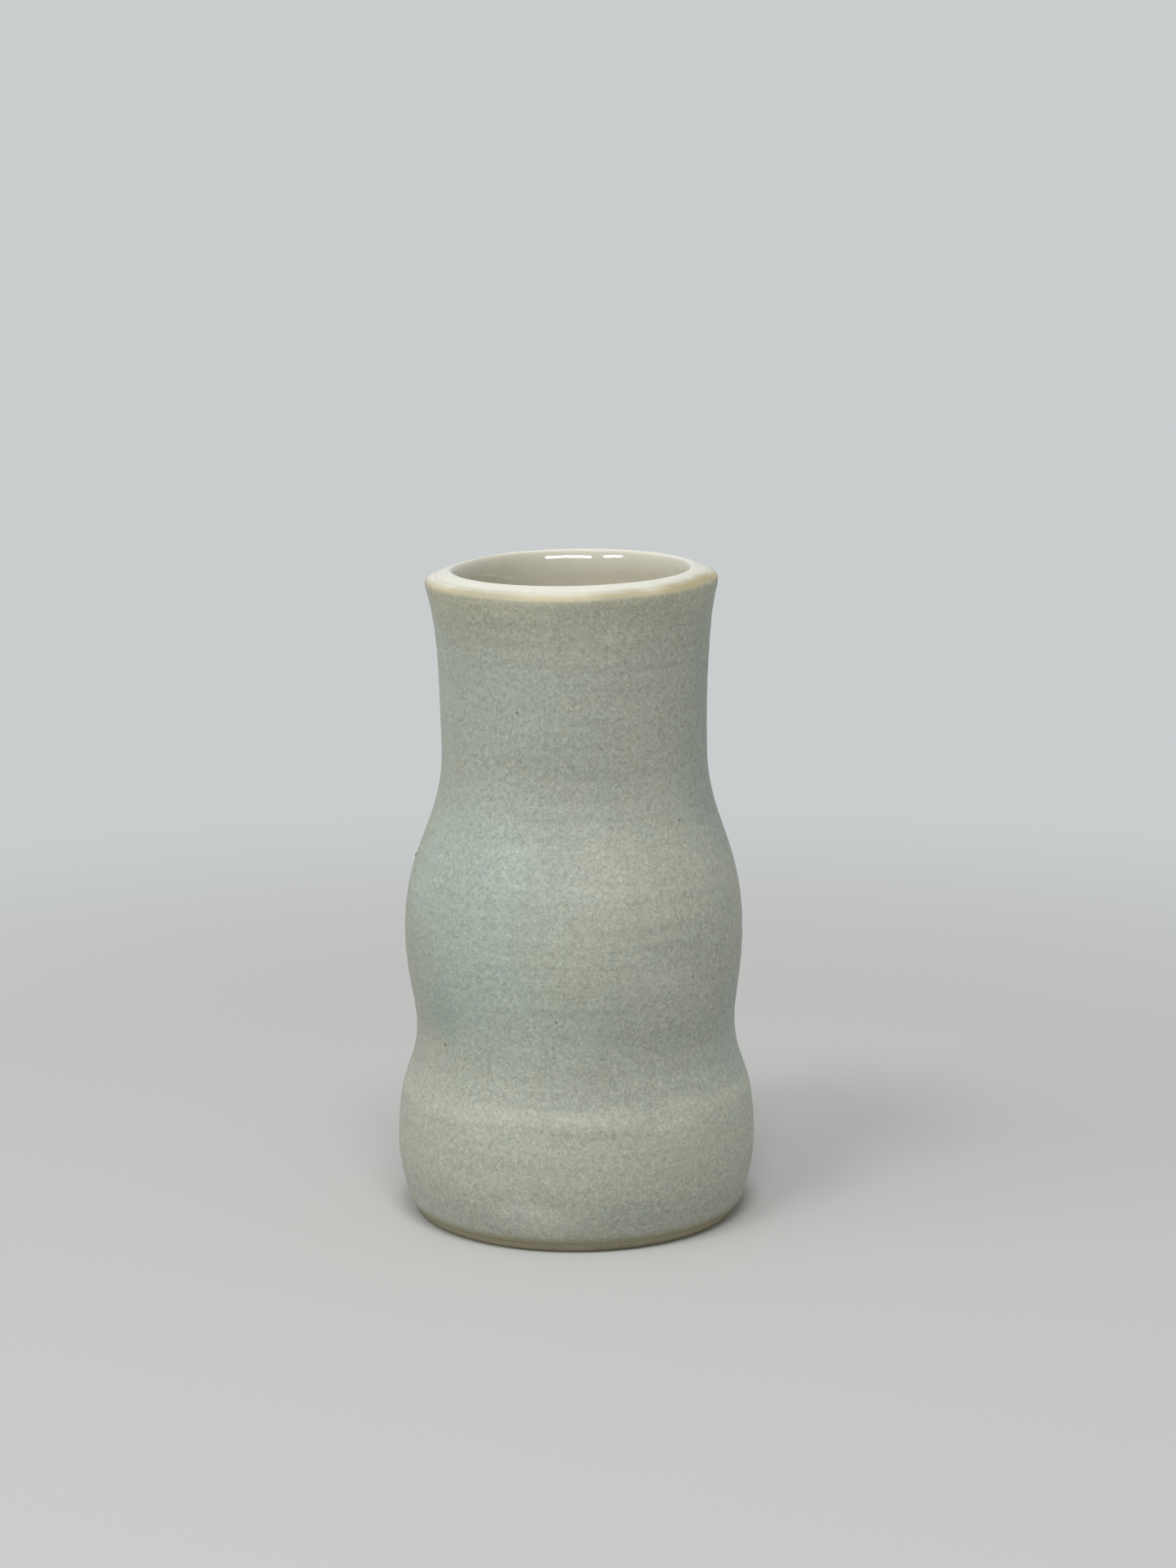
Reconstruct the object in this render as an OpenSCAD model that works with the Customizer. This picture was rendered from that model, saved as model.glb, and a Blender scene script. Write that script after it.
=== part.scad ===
// Ceramic bud vase: a wheel-thrown stoneware body, a matte glaze outside and a gloss liner inside.
// Lengths are in millimetres. +Z is up, and the origin is the middle of the foot, on the table.
// The side is one smooth curve that runs upright through five diameters: hip, waist, belly, neck and lip.
// Each diameter has holds: how far below and above it the curve keeps close to it before it bends away.

/* [Wall] */
// Height from the table to the top of the lip
height = 105; // [92:0.5:125]
// Thickness of the finished wall below the lip, measured level, with the glaze on both its faces
wall = 4; // [3:0.1:6]
// Thickness of the finished floor, from the recess under the foot to the inside
floor_t = 4.5; // [3:0.1:7]
// Width of the round corner between the inside wall and the floor
inner_corner = 7; // [4:0.5:12]

/* [Lip] */
// Diameter of the lip at its outer edge, over the glaze
lip_d = 46.5; // [43:0.1:54]
// Hold below the lip's outer edge
lip_below = 2.2; // [1:0.1:6]
// Thickness of the finished wall at the lip's outer edge, measured level, before its inside is rounded
lip_wall = 5; // [4.7:0.1:7]
// Height of the bevel that slopes up from the lip's outer edge to its top
bevel = 1.9; // [1.4:0.1:3]
// Width of the bevel, from the lip's outer edge in to its top
bevel_w = 3.85; // [3:0.05:4.2]
// Hold above the lip's outer edge, where the side turns over into the bevel
edge_hold = 0.5; // [0.2:0.1:1]
// Level hold at the lip's top, outside it
top_hold = 0.6; // [0.2:0.1:2]
// Level hold at the lip's top, inside it
tip_hold = 0.65; // [0.2:0.05:0.9]
// Depth below the lip's top to which its inside is rounded
round_drop = 4.4; // [3:0.1:8]
// Hold at the lower end of that round
round_hold = 1.4; // [0.5:0.1:2.5]

/* [Neck] */
// Diameter of the neck at its narrowest, over the glaze
neck_d = 42.5; // [30:0.1:45]
// Distance from the top of the lip down to the neck's narrowest point
neck_drop = 29; // [23:0.5:36]
// Hold below the neck's narrowest point
neck_below = 12; // [6:0.5:14]
// Hold above the neck's narrowest point
neck_above = 24; // [8:0.5:25]

/* [Belly] */
// Diameter of the belly at its widest, over the glaze
belly_d = 54.5; // [48:0.1:66]
// Height of the belly's widest point
belly_z = 46.5; // [43:0.5:52]
// Hold below the belly's widest point
belly_below = 7; // [2:0.5:9]
// Hold above the belly's widest point
belly_above = 14; // [4:0.5:16]

/* [Waist] */
// Diameter of the waist at its narrowest, over the glaze
waist_d = 51.6; // [44:0.1:54]
// Height of the waist's narrowest point
waist_z = 31.5; // [28:0.5:34]
// Hold below the waist's narrowest point
waist_below = 8; // [3:0.5:9]
// Hold above the waist's narrowest point
waist_above = 3.5; // [2:0.5:6]

/* [Hip] */
// Diameter of the hip, the swell above the foot, at its widest, over the glaze
hip_d = 58; // [53:0.1:68]
// Height of the hip's widest point
hip_z = 12; // [9:0.5:16]
// Hold below the hip's widest point
hip_below = 5; // [2:0.5:7]
// Hold above the hip's widest point
hip_above = 12; // [4:0.5:13]

/* [Foot] */
// Outer diameter of the flat ring that stands on the table
foot_d = 51.2; // [44:0.1:54]
// Width of the flat ring
ring_w = 4.5; // [3:0.1:9]
// Hold of the rounded heel, where the ring turns up into the side
heel = 0.9; // [0.4:0.1:2]
// Depth of the recess trimmed out inside the ring
recess = 1.5; // [0.8:0.1:3]
// Width of the round cove at the edge of the recess
cove = 2; // [1:0.1:4]

/* [Glaze] */
// Thickness of the matte glaze outside
glaze_t = 0.4; // [0.2:0.05:0.8]
// Thickness of the gloss liner inside and over the lip
liner_t = 0.3; // [0.2:0.05:0.8]
// Height of the bare clay band left at the foot
bare_band = 1.4; // [1:0.1:5]
// How far up the bevel of the lip the two glazes meet, in percent
lip_line = 45; // [10:5:80]

/* [Hidden] */
$fn = 96;

// Points along each curve
STEPS = 16;
// Control length that makes a cubic curve follow a quarter of an ellipse
QUARTER = 0.5523;
// Halvings that find a height on a curve
HALVINGS = 24;

inside_z = recess + floor_t;
inside_r = hip_d / 2 - wall;
ring_r = foot_d / 2 - ring_w;
neck_z = height - neck_drop;

// Radius of the clay under a diameter that is measured over the glaze
function clay_r(d) = d / 2 - glaze_t;

// Radius, height, hold below and hold above of each diameter, on the clay's outer face
KNOTS = [
    [clay_r(hip_d), hip_z, hip_below, hip_above],
    [clay_r(waist_d), waist_z, waist_below, waist_above],
    [clay_r(belly_d), belly_z, belly_below, belly_above],
    [clay_r(neck_d), neck_z, neck_below, neck_above],
    [clay_r(lip_d), height - bevel, lip_below, 0],
];

// Four control points of the quarter ellipse from a to b that is drawn into the corner c
function quarter(a, c, b) = [a, a + QUARTER * (c - a), b + QUARTER * (c - b), b];

// Four control points of the curve that runs upright from knot a to knot b
function between(a, b) =
    [[a.x, a.y], [a.x, a.y + a[3]], [b.x, b.y - b[2]], [b.x, b.y]];

// Curves that run through all the knots, each knot moved inwards by its own depth
function through(depths) =
    let (knots = [for (i = [0 : len(KNOTS) - 1]) KNOTS[i] - [depths[i], 0, 0, 0]])
    [for (i = [1 : len(knots) - 1]) between(knots[i - 1], knots[i])];

// Depth of the finished inside below the clay's own outer face, at the knots below the lip and at the lip
wall_depth = wall - glaze_t;
lip_depth = lip_wall - glaze_t;

// The clay's outer face above the hip, and the finished inside face from there up to the round of the lip
SIDE = through([0, 0, 0, 0, 0]);
INNER = through([wall_depth, wall_depth, wall_depth, wall_depth, lip_depth]);
INSIDE = [INNER[0], INNER[1], INNER[2], part_below(INNER[3], share_at(INNER[3], height - round_drop))];
HIP = KNOTS[0];
HEEL = [[foot_d / 2, 0], [foot_d / 2 + heel, 0], [HIP.x, HIP.y - HIP[2]], [HIP.x, HIP.y]];
COVE = quarter([ring_r - cove, recess], [ring_r, recess], [ring_r, 0]);
CORNER = quarter([inside_r - inner_corner, inside_z], [inside_r, inside_z], [inside_r, hip_z]);

// The clay's lip: outer edge, top and throat, the bevel up to the top, and the round from there to the throat
EDGE = SIDE[3][3];
TOP = [lip_d / 2 - bevel_w, height - liner_t];
THROAT = INSIDE[3][3] + liner_t * out(INSIDE[3], 1);
BEVEL = [EDGE, EDGE + [0, edge_hold], TOP + [top_hold, 0], TOP];
ROUND = [TOP, TOP - [tip_hold, 0], THROAT + round_hold * along(INSIDE[3], 1), THROAT];
MEET = lip_line / 100;

// Point at share u of a curve
function at(c, u) =
    let (v = 1 - u)
    v * v * v * c[0] + 3 * v * v * u * c[1] + 3 * v * u * u * c[2] + u * u * u * c[3];

// Direction of a curve at share u
function along(c, u) =
    let (v = 1 - u, d = v * v * (c[1] - c[0]) + 2 * v * u * (c[2] - c[1]) + u * u * (c[3] - c[2]))
    d / norm(d);

// Outward normal of a curve that is followed upwards
function out(c, u) = let (d = along(c, u)) [d.y, -d.x];

// Share of a rising curve at which it reaches height z
function share_at(c, z, low = 0, high = 1, n = HALVINGS) =
    let (mid = (low + high) / 2)
    n == 0 ? mid
    : at(c, mid).y < z ? share_at(c, z, mid, high, n - 1)
    : share_at(c, z, low, mid, n - 1);

// The part of a curve below share u, as a curve of its own
function part_below(c, u) =
    let (
        a = c[0] + u * (c[1] - c[0]),
        b = c[1] + u * (c[2] - c[1]),
        d = c[2] + u * (c[3] - c[2]),
        e = a + u * (b - a)
    )
    [c[0], a, e, e + u * (b + u * (d - b) - e)];

// Points up a curve from share u to share v, moved outwards by off, without the first
function rise(c, off, u = 0, v = 1) =
    [for (k = [1 : STEPS]) let (s = u + (v - u) * k / STEPS) at(c, s) + off * out(c, s)];

// Points back along a curve from share v to share u, moved outwards by off, without the first
function fall(c, off, u = 0, v = 1) =
    [for (k = [STEPS - 1 : -1 : 0]) let (s = u + (v - u) * k / STEPS) at(c, s) + off * out(c, s)];

// Points up or down a chain of curves, moved outwards by off
function up(chain, off) = [for (c = chain) each rise(c, off)];
function down(chain, off) = [for (i = [len(chain) - 1 : -1 : 0]) each fall(chain[i], off)];

// Share of the heel's curve at which the matte glaze ends
GLAZE_END = share_at(HEEL, bare_band);

// Rounded lower edge of the matte glaze, from the clay out to the face of the coat, without the first point
function glaze_edge() =
    let (p = at(HEEL, GLAZE_END), d = along(HEEL, GLAZE_END), n = out(HEEL, GLAZE_END))
    [for (k = [1 : STEPS]) let (a = 90 * k / STEPS) p + glaze_t * ((1 - cos(a)) * d + sin(a) * n)];

// The fired clay: thrown wall and floor, trimmed foot ring, and thick lip with its bevel
module clay_body() {
    color("#b59f7d")
    rotate_extrude()
    polygon(concat(
        [[0, recess], COVE[0]],
        rise(COVE, 0),
        [HEEL[0]],
        rise(HEEL, 0, 0, GLAZE_END),
        rise(HEEL, 0, GLAZE_END),
        up(SIDE, 0),
        rise(BEVEL, 0, 0, MEET),
        rise(BEVEL, 0, MEET),
        rise(ROUND, 0),
        down(INSIDE, liner_t),
        fall(CORNER, liner_t),
        [[0, inside_z - liner_t]]
    ));
}

// Matte glaze from just above the foot up to the lower part of the lip's bevel
module outer_glaze() {
    color("#a5aa9a")
    rotate_extrude()
    polygon(concat(
        glaze_edge(),
        rise(HEEL, glaze_t, share_at(HEEL, bare_band + glaze_t)),
        up(SIDE, glaze_t),
        rise(BEVEL, glaze_t, 0, MEET),
        [at(BEVEL, MEET)],
        fall(BEVEL, 0, 0, MEET),
        down(SIDE, 0),
        fall(HEEL, 0, GLAZE_END)
    ));
}

// Gloss liner over the floor, up the inside and over the top of the lip
module liner_glaze() {
    color("#dfdace")
    rotate_extrude()
    polygon(concat(
        [[0, inside_z], CORNER[0]],
        rise(CORNER, 0),
        up(INSIDE, 0),
        fall(ROUND, liner_t),
        fall(BEVEL, liner_t, MEET),
        [at(BEVEL, MEET)],
        rise(BEVEL, 0, MEET),
        rise(ROUND, 0),
        down(INSIDE, liner_t),
        fall(CORNER, liner_t),
        [[0, inside_z - liner_t]]
    ));
}

clay_body();
outer_glaze();
liner_glaze();
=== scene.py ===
"""Looks of a small wheel-thrown stoneware bud vase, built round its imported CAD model."""
import math
import random

import bmesh
import bpy
from mathutils import Matrix, Vector


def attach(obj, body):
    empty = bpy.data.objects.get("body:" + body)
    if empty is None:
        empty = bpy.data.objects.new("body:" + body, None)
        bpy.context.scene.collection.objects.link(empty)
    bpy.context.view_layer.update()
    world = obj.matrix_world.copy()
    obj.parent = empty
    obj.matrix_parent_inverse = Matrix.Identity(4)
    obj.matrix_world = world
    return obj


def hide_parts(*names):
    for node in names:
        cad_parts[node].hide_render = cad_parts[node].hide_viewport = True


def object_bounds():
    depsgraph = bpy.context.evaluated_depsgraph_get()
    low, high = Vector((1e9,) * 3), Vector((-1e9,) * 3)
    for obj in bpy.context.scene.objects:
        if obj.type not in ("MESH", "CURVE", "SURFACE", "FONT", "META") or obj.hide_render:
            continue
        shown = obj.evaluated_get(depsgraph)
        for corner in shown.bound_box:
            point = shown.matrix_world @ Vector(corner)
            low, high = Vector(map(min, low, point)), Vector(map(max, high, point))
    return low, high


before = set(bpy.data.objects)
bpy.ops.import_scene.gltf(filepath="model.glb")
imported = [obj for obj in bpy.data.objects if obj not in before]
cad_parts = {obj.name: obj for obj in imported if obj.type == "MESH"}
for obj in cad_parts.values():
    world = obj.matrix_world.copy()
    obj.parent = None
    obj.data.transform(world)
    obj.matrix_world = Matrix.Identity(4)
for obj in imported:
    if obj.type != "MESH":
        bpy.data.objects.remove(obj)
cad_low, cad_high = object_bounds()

# Sizes are in millimetres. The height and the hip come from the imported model.
MM = 0.001
HEIGHT = (cad_high.z - cad_low.z) / MM
HIP_R = cad_high.x / MM
FOOT_R = 25.6
RING_W = 4.5
HEEL = 0.9
RECESS = 1.5
COVE = 2.0
WALL = 4.0
FLOOR_T = 4.5
INNER_CORNER = 7.0
GLAZE_T = 0.4
LINER_T = 0.3
BARE_BAND = 1.4
# Height over which the matte glaze thins out to its lower edge
GLAZE_ROUND = 1.4
# Lip: its wall, height and width of its bevel, holds at the bevel's outer edge and at the top
LIP_WALL = 5.0
BEVEL = 1.9
BEVEL_W = 3.85
EDGE_HOLD = 0.5
TOP_HOLD = 0.6
# Depth below the lip's top to which its inside is rounded, and the holds of that round at its ends
ROUND_DROP = 4.4
ROUND_HOLD = 1.4
TIP_HOLD = 0.65
# Share of the way up the bevel at which the two glazes meet
MEET = 0.45
# Height of the hip's widest place and its hold below, and radius and height of the lip's outer edge
HIP_Z = 12.0
HIP_BELOW = 5.0
LIP_R = 23.25
LIP_Z = HEIGHT - BEVEL

# Each knot of the side curve: radius over the glaze, height, hold below, hold above
HIP = (HIP_R, HIP_Z, HIP_BELOW, 12.0)
WAIST = (25.8, 31.5, 8.0, 3.5)
BELLY = (27.25, 46.5, 7.0, 14.0)
NECK = (21.25, HEIGHT - 29.0, 12.0, 24.0)
LIP = (LIP_R, LIP_Z, 2.2, 0.0)

# How far the middle of the vase strays by hand, as height and distance towards +X
LEAN = [(0, 0.0), (14, 0.05), (26, 0.09), (46, -0.2), (72, 0.18), (90, 0.05), (105, -0.13)]
# Slope of the rim towards +X and +Y, and the height from which it sets in
RIM_SLOPE = (0.011, 0.02)
RIM_FROM = 88.0
# Dip in the rim: its middle, how far it reaches, and its depth
RIM_DIP = (-19.0, 9.0, HEIGHT)
DIP_REACH = 15.0
DIP_DEPTH = 0.27
# Throwing ridge round the top of the hip: height, how proud it stands, half its width
RIDGE_Z = 21.6
RIDGE_PROUD = 0.05
RIDGE_HALF = 1.6
# Distance from a glaze's edge over which its uneven surface fades out, so that the edge lies on the clay
RELIEF_FADE = 2.0
# Share of the uneven surface that the cove, the heel and the round of the lip have
COVE_RELIEF = 0.4
HEEL_RELIEF = 0.3
ROUND_RELIEF = 0.5

# Spacing of the points along a section: on the faces that show, on the heel, over the lip, up the inside,
# on the floor, and where a face is covered
FINE = 0.45
HEEL_PITCH = FINE / 2
LIP_PITCH = FINE / 3
INSIDE_PITCH = FINE * 1.2
FLOOR_PITCH = FINE * 1.5
COARSE = 2.5
# Steps along the cove, and points round the vase
COVE_STEPS = 8
COLUMNS = 288
# Points closer than this are one, in a section and in a finished mesh
SAME = 0.01
WELD = 0.002
# Control length that makes a cubic curve follow a quarter of an ellipse
QUARTER = 0.5523
# Halvings that find a height on a curve
HALVINGS = 30
# Throwing rings grow and fade over this many of their spacings, about this share of their height
RING_RUN = 4.0
RING_SHARE = 0.6
# Number that fixes every random choice
SEED = 7

MATH = "ShaderNodeMath"
VECTOR = "ShaderNodeVectorMath"
NOISE = "ShaderNodeTexNoise"
SPREAD = "ShaderNodeMapRange"
MIX = "ShaderNodeMix"
# Sockets of a node that mixes two colours: its share, the two colours, and what comes out
BY, FROM, TO, MIXED = 0, 6, 7, 2
# Range that most values of a noise keep to, and the middle of that range
USUAL = (0.2, 0.8)
MIDDLE = (0.25, 0.75)
# Range of a round gradient over which a patch sets in
PATCH = (0.0, 0.75)


def srgb(code):
    """Linear colour, with alpha, of an sRGB hex value."""
    parts = [int(code[i:i + 2], 16) / 255 for i in (1, 3, 5)]
    return [c / 12.92 if c <= 0.04045 else ((c + 0.055) / 1.055) ** 2.4 for c in parts] + [1.0]


def per_metre(size):
    """Scale of a pattern on Object coordinates whose features are this many millimetres across."""
    return 1 / (size * MM)


def add(tree, kind, inputs=(), **settings):
    """Adds a node, sets its properties, then sets or links its inputs, given in order or by key."""
    made = tree.nodes.new(kind)
    for name, value in settings.items():
        setattr(made, name, value)
    for key, value in inputs.items() if isinstance(inputs, dict) else enumerate(inputs):
        if isinstance(value, bpy.types.Node):
            value = value.outputs[0]
        if isinstance(value, bpy.types.NodeSocket):
            tree.links.new(value, made.inputs[key])
        else:
            made.inputs[key].default_value = value
    return made


# The section of the vase

def through_knots(depth, lip_depth):
    """Cubic curves that run upright from one knot of the side to the next, moved inwards by a depth."""
    knots = [(r - depth, height, below, above) for r, height, below, above in (HIP, WAIST, BELLY, NECK)]
    knots.append((LIP_R - lip_depth, *LIP[1:]))
    curves = []
    for (r, height, _, above), (next_r, next_height, below, _) in zip(knots, knots[1:]):
        start, end = Vector((r, height)), Vector((next_r, next_height))
        curves.append([start, start + Vector((0, above)), end - Vector((0, below)), end])
    return curves


def quarter(start, corner, end):
    """Cubic curve that follows a quarter of an ellipse drawn into a corner."""
    start, corner, end = Vector(start), Vector(corner), Vector(end)
    return [start, start.lerp(corner, QUARTER), end.lerp(corner, QUARTER), end]


def on_curve(curve, u):
    """Point and outward normal at share u of a curve that is followed upwards."""
    a, b, c, d = curve
    v = 1 - u
    point = a * v ** 3 + b * (3 * v * v * u) + c * (3 * v * u * u) + d * u ** 3
    way = (b - a) * (v * v) + (c - b) * (2 * v * u) + (d - c) * (u * u)
    way.normalize()
    return point, Vector((way.y, -way.x))


def share_at(curve, height):
    """Share of a rising curve at which it reaches a height."""
    low, high = 0.0, 1.0
    for _ in range(HALVINGS):
        mid = (low + high) / 2
        if on_curve(curve, mid)[0].y < height:
            low = mid
        else:
            high = mid
    return low


def part_below(curve, u):
    """The part of a curve below share u, as a curve of its own."""
    points, kept = curve, [curve[0]]
    while len(points) > 1:
        points = [start.lerp(end, u) for start, end in zip(points, points[1:])]
        kept.append(points[0])
    return kept


INSIDE_Z = RECESS + FLOOR_T
INSIDE_R = HIP_R - WALL
RING_R = FOOT_R - RING_W
SIDE = through_knots(GLAZE_T, GLAZE_T)
INSIDE = through_knots(WALL, LIP_WALL)
INSIDE[3] = part_below(INSIDE[3], share_at(INSIDE[3], HEIGHT - ROUND_DROP))
WIDEST = SIDE[0][0]
HEEL_CURVE = [Vector((FOOT_R, 0)), Vector((FOOT_R + HEEL, 0)), WIDEST - Vector((0, HIP_BELOW)), WIDEST]
COVE_CURVE = quarter((RING_R - COVE, RECESS), (RING_R, RECESS), (RING_R, 0))
CORNER_CURVE = quarter((INSIDE_R - INNER_CORNER, INSIDE_Z), (INSIDE_R, INSIDE_Z), (INSIDE_R, HIP_Z))
GLAZE_END = share_at(HEEL_CURVE, BARE_BAND)

# The clay's lip: the bevel from its outer edge up to its top, and the round from there down to the inside
EDGE = SIDE[3][3]
TOP = Vector((LIP_R - BEVEL_W, HEIGHT - LINER_T))
BEVEL_CURVE = [EDGE, EDGE + Vector((0, EDGE_HOLD)), TOP + Vector((TOP_HOLD, 0)), TOP]
inner_end, facing = on_curve(INSIDE[3], 1.0)
upward = Vector((-facing.y, facing.x))
THROAT = inner_end + facing * LINER_T
ROUND_CURVE = [TOP, TOP - Vector((TIP_HOLD, 0)), THROAT + upward * ROUND_HOLD, THROAT]
MEET_Z = on_curve(BEVEL_CURVE, MEET)[0].y


def follow(curve, off, pitch, shows, start=0.0, end=1.0):
    """Section points up a curve, about a pitch apart, each moved outwards by off of its height."""
    chord = (on_curve(curve, end)[0] - on_curve(curve, start)[0]).length
    count = max(2, round(chord / pitch))
    points = []
    for k in range(count + 1):
        point, normal = on_curve(curve, start + (end - start) * k / count)
        points.append((point + normal * off(point.y), normal, shows))
    return points


def side(curves, off, pitch, shows):
    """Section points up the whole side above the hip, on the outer face or the inside face."""
    return [point for curve in curves for point in follow(curve, off, pitch, shows)]


def level(start, end, height, pitch, shows):
    """Section points along a flat stretch that faces down, from one radius to another."""
    count = max(2, round(abs(end - start) / pitch))
    return [(Vector((start + (end - start) * k / count, height)), Vector((0, -1)), shows)
            for k in range(count + 1)]


def turned_over(points):
    """The same points, facing the other way."""
    return [(point, -normal, shows) for point, normal, shows in points]


def no_depth(height):
    """Depth of the clay's own face: none, at any height."""
    return 0.0


def liner_depth(height):
    """Thickness of the gloss liner: the same at any height."""
    return LINER_T


def glaze_depth(height):
    """Thickness of the matte glaze at a height: rounded at the foot, proud on the ridge, thin at the lip."""
    full = min(1.0, max(0.0, (height - BARE_BAND) / GLAZE_ROUND))
    thin = min(1.0, max(0.0, (height - LIP_Z) / (MEET_Z - LIP_Z)))
    ridge = RIDGE_PROUD * math.exp(-((height - RIDGE_Z) / RIDGE_HALF) ** 2)
    return (GLAZE_T + (LINER_T - GLAZE_T) * thin) * math.sqrt(1 - (1 - full) ** 2) + ridge


def outer_section():
    """The matte coat: up its face from the foot to the lip, then down its back."""
    face = follow(HEEL_CURVE, glaze_depth, FINE, 1.0, GLAZE_END) + side(SIDE, glaze_depth, FINE, 1.0)
    face = [(point, normal, min(1.0, (point.y - BARE_BAND) / RELIEF_FADE, (LIP_Z - point.y) / RELIEF_FADE))
            for point, normal, _ in face]
    face += follow(BEVEL_CURVE, glaze_depth, LIP_PITCH, 0.0, 0.0, MEET)
    back = follow(HEEL_CURVE, no_depth, FINE, 0.0, GLAZE_END) + side(SIDE, no_depth, COARSE, 0.0)
    back += follow(BEVEL_CURVE, no_depth, FINE, 0.0, 0.0, MEET)
    return face + turned_over(reversed(back))


def liner_section():
    """The gloss liner: from the floor up the inside and over the lip, then back along the clay."""
    face = level(0, INSIDE_R - INNER_CORNER, INSIDE_Z, FLOOR_PITCH, 1.0)
    face += follow(CORNER_CURVE, no_depth, FINE, 1.0) + side(INSIDE, no_depth, INSIDE_PITCH, 1.0)
    over = follow(BEVEL_CURVE, liner_depth, LIP_PITCH, 0.0, MEET)
    over += follow(ROUND_CURVE, liner_depth, LIP_PITCH, ROUND_RELIEF)
    under = follow(BEVEL_CURVE, no_depth, FINE, 0.0, MEET) + follow(ROUND_CURVE, no_depth, FINE, 0.0)
    return turned_over(face) + list(reversed(over)) + turned_over(under) + list(reversed(inside_clay()))


def inside_clay():
    """The clay's own face under the liner, from the middle of the floor up to the lip."""
    points = level(0, INSIDE_R - INNER_CORNER, INSIDE_Z - LINER_T, COARSE, 0.0)
    return points + follow(CORNER_CURVE, liner_depth, COARSE, 0.0) + side(INSIDE, liner_depth, COARSE, 0.0)


def body_section():
    """The clay: along the recess, over the foot ring, up the outside, over the lip and down inside."""
    section = level(0, RING_R - COVE, RECESS, FINE, 1.0)
    for k in range(COVE_STEPS + 1):
        share = k / COVE_STEPS
        tilt = share * math.pi / 2
        normal = Vector((-math.sin(tilt), -math.cos(tilt)))
        section.append((on_curve(COVE_CURVE, share)[0], normal, COVE_RELIEF * (1 - share)))
    section += level(RING_R, FOOT_R, 0.0, FINE, 0.0)
    heel = follow(HEEL_CURVE, no_depth, HEEL_PITCH, HEEL_RELIEF, 0.0, GLAZE_END)
    section += [(point, normal, shows * (1 - point.y / BARE_BAND)) for point, normal, shows in heel]
    section += follow(HEEL_CURVE, no_depth, FINE, 0.0, GLAZE_END) + side(SIDE, no_depth, COARSE, 0.0)
    section += follow(BEVEL_CURVE, no_depth, FINE, 0.0) + follow(ROUND_CURVE, no_depth, FINE, 0.0)
    return section + turned_over(reversed(inside_clay()))


def on_outside(height):
    """Point and normal of the matte coat's face in section, at a height above the hip's widest."""
    for curve in SIDE:
        if curve[0].y <= height <= curve[3].y:
            point, normal = on_curve(curve, share_at(curve, height))
            return point + normal * glaze_depth(height), normal


def lean_at(height):
    """How far the vase's middle strays towards +X at a height, eased between the named places."""
    for (low, a), (high, b) in zip(LEAN, LEAN[1:]):
        if height <= high:
            u = max(0.0, (height - low) / (high - low))
            return a + (b - a) * u * u * (3 - 2 * u)
    return LEAN[-1][1]


# Trees of geometry nodes

def new_tree(name, inputs):
    """A geometry tree with named inputs and one output, and its input sockets."""
    tree = bpy.data.node_groups.new(name, "GeometryNodeTree")
    for label, kind in inputs.items():
        tree.interface.new_socket(label, in_out="INPUT", socket_type="NodeSocket" + kind)
    tree.interface.new_socket("Piece", in_out="OUTPUT", socket_type="NodeSocketGeometry")
    return tree, add(tree, "NodeGroupInput").outputs


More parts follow.
